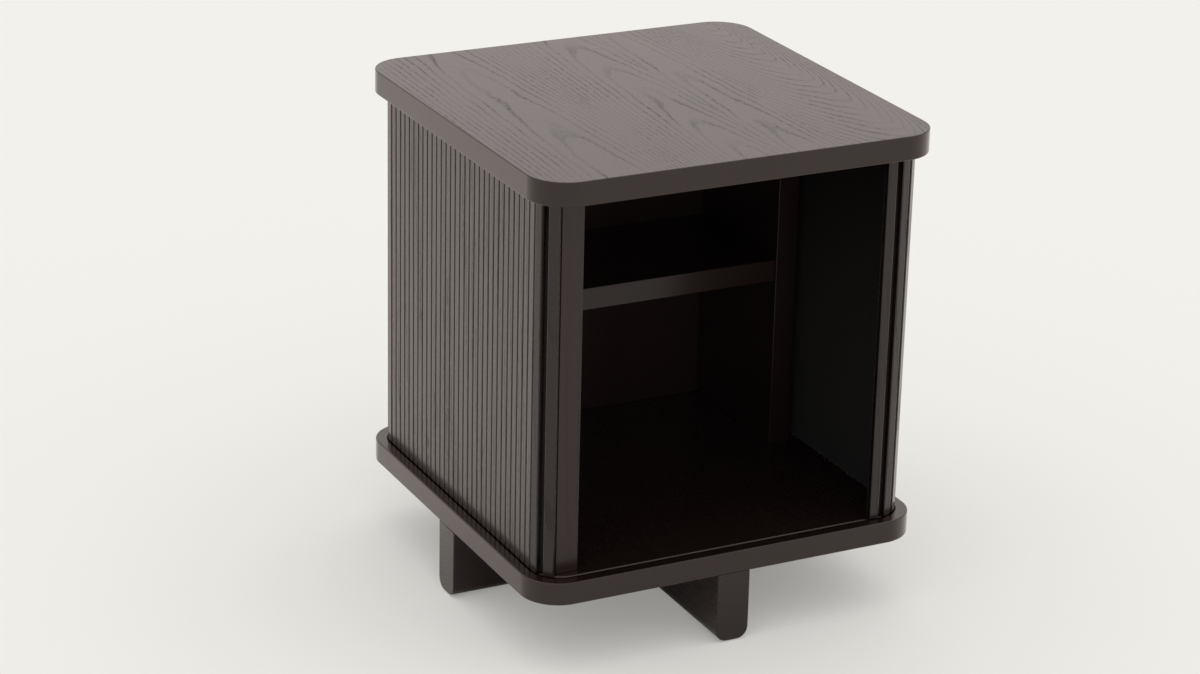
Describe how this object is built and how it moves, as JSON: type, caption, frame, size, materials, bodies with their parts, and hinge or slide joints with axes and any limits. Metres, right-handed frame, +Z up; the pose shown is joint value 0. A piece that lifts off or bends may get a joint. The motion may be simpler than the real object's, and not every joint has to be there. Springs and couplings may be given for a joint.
{
  "type": "bedside table with tambour curtains",
  "caption": "Cube-shaped bedside table with rounded corners, curtains of slats that run round it in one track, an inner shelf and a cross of leg boards.",
  "frame": {"origin": "middle of the footprint, on the floor that the glides stand on", "axes": "+X to the right and +Y to the back as seen by someone facing the open front, +Z up"},
  "size_m": [0.457, 0.457, 0.536],
  "materials": {
    "panel_wood": "satin black-stained ash, open grain",
    "slat_wood": "satin black-stained ash slats",
    "carcase_wood": "black-stained ash, inside of the cabinet",
    "leg_wood": "satin black-stained ash",
    "dowel_wood": "bare beech",
    "backing_cloth": "black cotton duck, matte",
    "pin_steel": "plain steel",
    "glide_plastic": "black nylon"
  },
  "bodies": {
    "cabinet": {"top_panel": "panel_wood", "base_panel": "panel_wood", "left_wall": "carcase_wood", "right_wall": "carcase_wood", "back_wall": "carcase_wood", "shelf": "carcase_wood", "shelf_pins": "pin_steel", "top_dowels": "dowel_wood", "base_dowels": "dowel_wood", "leg_board_side_to_side": "leg_wood", "leg_board_front_to_back": "leg_wood", "leg_screws": "pin_steel", "leg_dowels": "dowel_wood", "glides": "glide_plastic", "track_stops": "dowel_wood", "left_cloth": "backing_cloth", "right_cloth": "backing_cloth"},
    "left_lead_stile": {"left_lead_stile": "slat_wood"},
    "left_front_slat_1": {"left_front_slat_1": "slat_wood"},
    "left_front_slat_2": {"left_front_slat_2": "slat_wood"},
    "left_front_slat_3": {"left_front_slat_3": "slat_wood"},
    "left_side_slats": {"left_side_slats": "slat_wood"},
    "left_rear_slat_1": {"left_rear_slat_1": "slat_wood"},
    "left_rear_slat_2": {"left_rear_slat_2": "slat_wood"},
    "left_rear_slat_3": {"left_rear_slat_3": "slat_wood"},
    "left_rear_slat_4": {"left_rear_slat_4": "slat_wood"},
    "left_rear_slat_5": {"left_rear_slat_5": "slat_wood"},
    "left_rear_slat_6": {"left_rear_slat_6": "slat_wood"},
    "left_back_slats": {"left_back_slats": "slat_wood"},
    "right_lead_stile": {"right_lead_stile": "slat_wood"},
    "right_front_slat_1": {"right_front_slat_1": "slat_wood"},
    "right_front_slat_2": {"right_front_slat_2": "slat_wood"},
    "right_front_slat_3": {"right_front_slat_3": "slat_wood"},
    "right_front_slat_4": {"right_front_slat_4": "slat_wood"},
    "right_front_slat_5": {"right_front_slat_5": "slat_wood"},
    "right_side_slats": {"right_side_slats": "slat_wood"},
    "right_rear_slat_1": {"right_rear_slat_1": "slat_wood"},
    "right_rear_slat_2": {"right_rear_slat_2": "slat_wood"},
    "right_rear_slat_3": {"right_rear_slat_3": "slat_wood"},
    "right_rear_slat_4": {"right_rear_slat_4": "slat_wood"},
    "right_rear_slat_5": {"right_rear_slat_5": "slat_wood"},
    "right_rear_slat_6": {"right_rear_slat_6": "slat_wood"},
    "right_back_slats": {"right_back_slats": "slat_wood"}
  },
  "joints": [
    {"name": "left_side_slats_travel", "type": "slide", "parent": "cabinet", "child": "left_side_slats", "axis": [0, -1, 0], "range_m": [0, 0.024], "deforming": ["left_cloth"]},
    {"name": "right_side_slats_travel", "type": "slide", "parent": "cabinet", "child": "right_side_slats", "axis": [0, -1, 0], "range_m": [0, 0.024], "deforming": ["right_cloth"]},
    {"name": "left_lead_stile_travel", "type": "hinge", "parent": "cabinet", "child": "left_lead_stile", "pos_m": [-0.18181, -0.18171, 0.307], "axis": [0, 0, 1], "range_deg": [0, 45.88]},
    {"name": "left_front_slat_1_travel", "type": "hinge", "parent": "cabinet", "child": "left_front_slat_1", "pos_m": [-0.182, -0.182, 0.307], "axis": [0, 0, 1], "range_deg": [0, 46.46]},
    {"name": "left_front_slat_2_travel", "type": "hinge", "parent": "cabinet", "child": "left_front_slat_2", "pos_m": [-0.16841, -0.17847, 0.307], "axis": [0, 0, 1], "range_deg": [0, 31.47]},
    {"name": "left_front_slat_3_travel", "type": "hinge", "parent": "cabinet", "child": "left_front_slat_3", "pos_m": [0.0608, -0.1699, 0.307], "axis": [0, 0, 1], "range_deg": [0, 5.05]},
    {"name": "left_rear_slat_1_travel", "type": "hinge", "parent": "cabinet", "child": "left_rear_slat_1", "pos_m": [0.04023, 0.17156, 0.307], "axis": [0, 0, 1], "range_deg": [0, 5.47]},
    {"name": "left_rear_slat_2_travel", "type": "hinge", "parent": "cabinet", "child": "left_rear_slat_2", "pos_m": [-0.17203, 0.17889, 0.307], "axis": [0, 0, 1], "range_deg": [0, 34.47]},
    {"name": "left_rear_slat_3_travel", "type": "hinge", "parent": "cabinet", "child": "left_rear_slat_3", "pos_m": [-0.182, 0.182, 0.307], "axis": [0, 0, 1], "range_deg": [0, 46.46]},
    {"name": "left_rear_slat_4_travel", "type": "hinge", "parent": "cabinet", "child": "left_rear_slat_4", "pos_m": [-0.182, 0.182, 0.307], "axis": [0, 0, 1], "range_deg": [0, 46.46]},
    {"name": "left_rear_slat_5_travel", "type": "hinge", "parent": "cabinet", "child": "left_rear_slat_5", "pos_m": [-0.17989, 0.17543, 0.307], "axis": [0, 0, 1], "range_deg": [0, 37.63]},
    {"name": "left_rear_slat_6_travel", "type": "hinge", "parent": "cabinet", "child": "left_rear_slat_6", "pos_m": [-0.17187, 0.06074, 0.307], "axis": [0, 0, 1], "range_deg": [0, 9.09]},
    {"name": "left_back_slats_travel", "type": "slide", "parent": "cabinet", "child": "left_back_slats", "axis": [-1, 0, 0], "range_m": [0, 0.024]},
    {"name": "right_lead_stile_travel", "type": "slide", "parent": "cabinet", "child": "right_lead_stile", "axis": [-1, 0, 0], "range_m": [0, 0.024]},
    {"name": "right_front_slat_1_travel", "type": "hinge", "parent": "cabinet", "child": "right_front_slat_1", "pos_m": [0.17691, -0.15796, 0.307], "axis": [0, 0, -1], "range_deg": [0, 25.52]},
    {"name": "right_front_slat_2_travel", "type": "hinge", "parent": "cabinet", "child": "right_front_slat_2", "pos_m": [0.18164, -0.18139, 0.307], "axis": [0, 0, -1], "range_deg": [0, 45.35]},
    {"name": "right_front_slat_3_travel", "type": "hinge", "parent": "cabinet", "child": "right_front_slat_3", "pos_m": [0.182, -0.182, 0.307], "axis": [0, 0, -1], "range_deg": [0, 46.46]},
    {"name": "right_front_slat_4_travel", "type": "hinge", "parent": "cabinet", "child": "right_front_slat_4", "pos_m": [0.182, -0.182, 0.307], "axis": [0, 0, -1], "range_deg": [0, 46.46]},
    {"name": "right_front_slat_5_travel", "type": "hinge", "parent": "cabinet", "child": "right_front_slat_5", "pos_m": [0.1332, -0.17476, 0.307], "axis": [0, 0, -1], "range_deg": [0, 17.41]},
    {"name": "right_rear_slat_1_travel", "type": "hinge", "parent": "cabinet", "child": "right_rear_slat_1", "pos_m": [0.14017, 0.17553, 0.307], "axis": [0, 0, -1], "range_deg": [0, 19.23]},
    {"name": "right_rear_slat_2_travel", "type": "hinge", "parent": "cabinet", "child": "right_rear_slat_2", "pos_m": [0.18008, 0.18106, 0.307], "axis": [0, 0, -1], "range_deg": [0, 43.34]},
    {"name": "right_rear_slat_3_travel", "type": "hinge", "parent": "cabinet", "child": "right_rear_slat_3", "pos_m": [0.182, 0.182, 0.307], "axis": [0, 0, -1], "range_deg": [0, 46.46]},
    {"name": "right_rear_slat_4_travel", "type": "hinge", "parent": "cabinet", "child": "right_rear_slat_4", "pos_m": [0.182, 0.182, 0.307], "axis": [0, 0, -1], "range_deg": [0, 46.46]},
    {"name": "right_rear_slat_5_travel", "type": "hinge", "parent": "cabinet", "child": "right_rear_slat_5", "pos_m": [0.17649, 0.1538, 0.307], "axis": [0, 0, -1], "range_deg": [0, 23.55]},
    {"name": "right_rear_slat_6_travel", "type": "hinge", "parent": "cabinet", "child": "right_rear_slat_6", "pos_m": [0.16719, -0.58833, 0.307], "axis": [0, 0, -1], "range_deg": [0, 1.72]},
    {"name": "right_back_slats_travel", "type": "slide", "parent": "cabinet", "child": "right_back_slats", "axis": [1, 0, 0], "range_m": [0, 0.024]}
  ],
  "couplings": [
    {"joint": "left_lead_stile_travel", "follows": "left_side_slats_travel", "rad_per_m": 33.368},
    {"joint": "left_front_slat_1_travel", "follows": "left_side_slats_travel", "rad_per_m": 33.784},
    {"joint": "left_front_slat_2_travel", "follows": "left_side_slats_travel", "rad_per_m": 22.883},
    {"joint": "left_front_slat_3_travel", "follows": "left_side_slats_travel", "rad_per_m": 3.6699},
    {"joint": "left_rear_slat_1_travel", "follows": "left_side_slats_travel", "rad_per_m": 3.981},
    {"joint": "left_rear_slat_2_travel", "follows": "left_side_slats_travel", "rad_per_m": 25.066},
    {"joint": "left_rear_slat_3_travel", "follows": "left_side_slats_travel", "rad_per_m": 33.784},
    {"joint": "left_rear_slat_4_travel", "follows": "left_side_slats_travel", "rad_per_m": 33.784},
    {"joint": "left_rear_slat_5_travel", "follows": "left_side_slats_travel", "rad_per_m": 27.368},
    {"joint": "left_rear_slat_6_travel", "follows": "left_side_slats_travel", "rad_per_m": 6.6122},
    {"joint": "left_back_slats_travel", "follows": "left_side_slats_travel", "ratio": 1},
    {"joint": "right_lead_stile_travel", "follows": "right_side_slats_travel", "ratio": 1},
    {"joint": "right_front_slat_1_travel", "follows": "right_side_slats_travel", "rad_per_m": 18.562},
    {"joint": "right_front_slat_2_travel", "follows": "right_side_slats_travel", "rad_per_m": 32.981},
    {"joint": "right_front_slat_3_travel", "follows": "right_side_slats_travel", "rad_per_m": 33.784},
    {"joint": "right_front_slat_4_travel", "follows": "right_side_slats_travel", "rad_per_m": 33.784},
    {"joint": "right_front_slat_5_travel", "follows": "right_side_slats_travel", "rad_per_m": 12.661},
    {"joint": "right_rear_slat_1_travel", "follows": "right_side_slats_travel", "rad_per_m": 13.981},
    {"joint": "right_rear_slat_2_travel", "follows": "right_side_slats_travel", "rad_per_m": 31.516},
    {"joint": "right_rear_slat_3_travel", "follows": "right_side_slats_travel", "rad_per_m": 33.784},
    {"joint": "right_rear_slat_4_travel", "follows": "right_side_slats_travel", "rad_per_m": 33.784},
    {"joint": "right_rear_slat_5_travel", "follows": "right_side_slats_travel", "rad_per_m": 17.124},
    {"joint": "right_rear_slat_6_travel", "follows": "right_side_slats_travel", "rad_per_m": 1.2511},
    {"joint": "right_back_slats_travel", "follows": "right_side_slats_travel", "ratio": 1}
  ]
}
